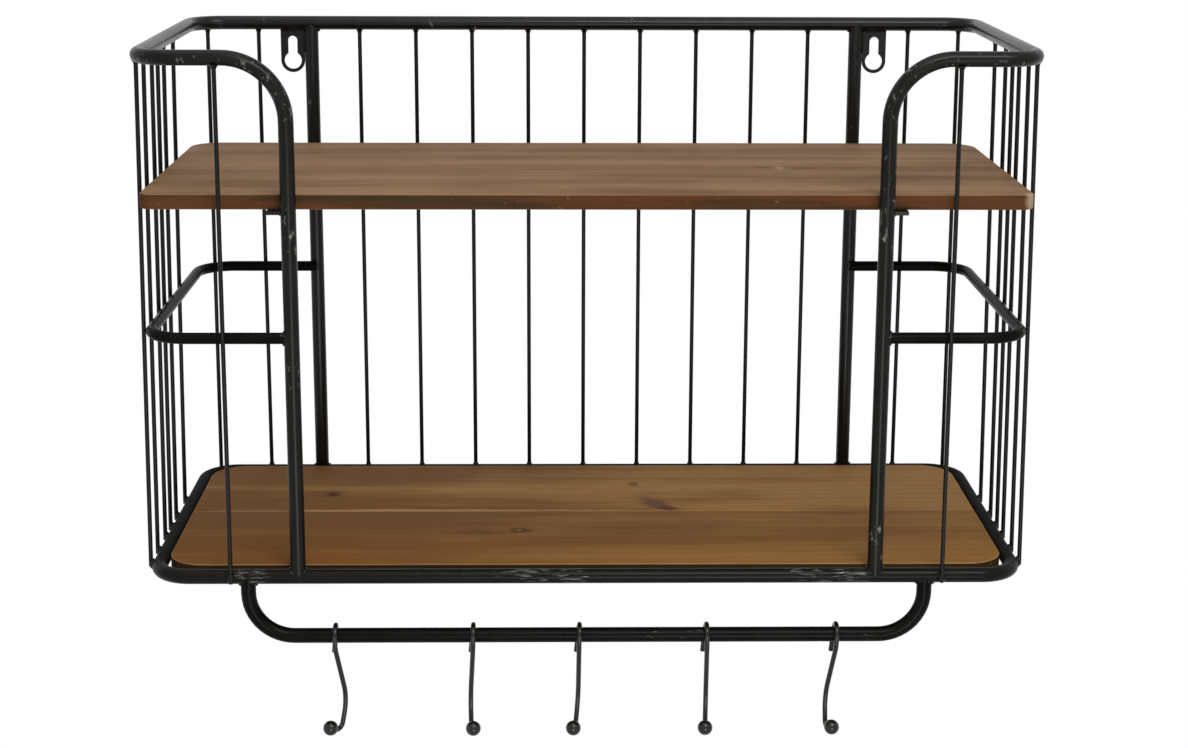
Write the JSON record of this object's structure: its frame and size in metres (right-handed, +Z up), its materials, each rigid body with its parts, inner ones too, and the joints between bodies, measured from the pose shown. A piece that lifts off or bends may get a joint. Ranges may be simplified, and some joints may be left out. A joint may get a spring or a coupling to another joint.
{
  "type": "wall rack",
  "caption": "Wall-hung black wire rack with wooden shelves inside a tube frame, and a hook rail below its front edge with sliding ball-ended hooks.",
  "frame": {"origin": "midway between the two keyholes, on the back face of their plates", "axes": "+X along the wall, to the right of someone facing the rack; +Y into the wall, so the open front faces -Y; +Z up"},
  "size_m": [0.7072, 0.3075, 0.5475],
  "materials": {
    "black_steel": "satin black paint, rubbed at the edges",
    "hook_steel": "satin black paint",
    "shelf_wood": "brown stained softwood, matt",
    "screw_steel": "zinc plated"
  },
  "bodies": {
    "rack": {"top_rim": "black_steel", "bottom_rim": "black_steel", "hook_rail": "black_steel", "front_post_left": "black_steel", "front_post_right": "black_steel", "back_post_left": "black_steel", "back_post_right": "black_steel", "side_hoop_left": "black_steel", "side_hoop_right": "black_steel", "keyhole_plate_left": "black_steel", "keyhole_plate_right": "black_steel", "upper_support_left": "black_steel", "upper_support_right": "black_steel", "lower_support_left": "black_steel", "lower_support_right": "black_steel", "back_wire_1": "black_steel", "back_wire_2": "black_steel", "back_wire_3": "black_steel", "back_wire_4": "black_steel", "back_wire_5": "black_steel", "back_wire_6": "black_steel", "back_wire_7": "black_steel", "back_wire_8": "black_steel", "back_wire_9": "black_steel", "left_wire_1": "black_steel", "left_wire_2": "black_steel", "left_wire_3": "black_steel", "left_wire_4": "black_steel", "left_wire_5": "black_steel", "left_wire_6": "black_steel", "left_wire_7": "black_steel", "left_wire_8": "black_steel", "left_wire_9": "black_steel", "right_wire_1": "black_steel", "right_wire_2": "black_steel", "right_wire_3": "black_steel", "right_wire_4": "black_steel", "right_wire_5": "black_steel", "right_wire_6": "black_steel", "right_wire_7": "black_steel", "right_wire_8": "black_steel", "right_wire_9": "black_steel", "upper_board": "shelf_wood", "lower_board_front": "shelf_wood", "lower_board_back": "shelf_wood", "upper_board_screws": "screw_steel", "lower_board_screws": "screw_steel"},
    "hook_body_1": {"hook_1": "hook_steel", "hook_ball_1": "hook_steel"},
    "hook_body_2": {"hook_2": "hook_steel", "hook_ball_2": "hook_steel"},
    "hook_body_3": {"hook_3": "hook_steel", "hook_ball_3": "hook_steel"},
    "hook_body_4": {"hook_4": "hook_steel", "hook_ball_4": "hook_steel"},
    "hook_body_5": {"hook_5": "hook_steel", "hook_ball_5": "hook_steel"}
  },
  "joints": [
    {"name": "hook_1_slide", "type": "slide", "parent": "rack", "child": "hook_body_1", "axis": [1, 0, 0], "range_m": [-0.029, 0.043]},
    {"name": "hook_2_slide", "type": "slide", "parent": "rack", "child": "hook_body_2", "axis": [1, 0, 0], "range_m": [-0.043, 0.0305]},
    {"name": "hook_3_slide", "type": "slide", "parent": "rack", "child": "hook_body_3", "axis": [1, 0, 0], "range_m": [-0.0305, 0.039]},
    {"name": "hook_4_slide", "type": "slide", "parent": "rack", "child": "hook_body_4", "axis": [1, 0, 0], "range_m": [-0.039, 0.04]},
    {"name": "hook_5_slide", "type": "slide", "parent": "rack", "child": "hook_body_5", "axis": [1, 0, 0], "range_m": [-0.04, 0.03]}
  ]
}
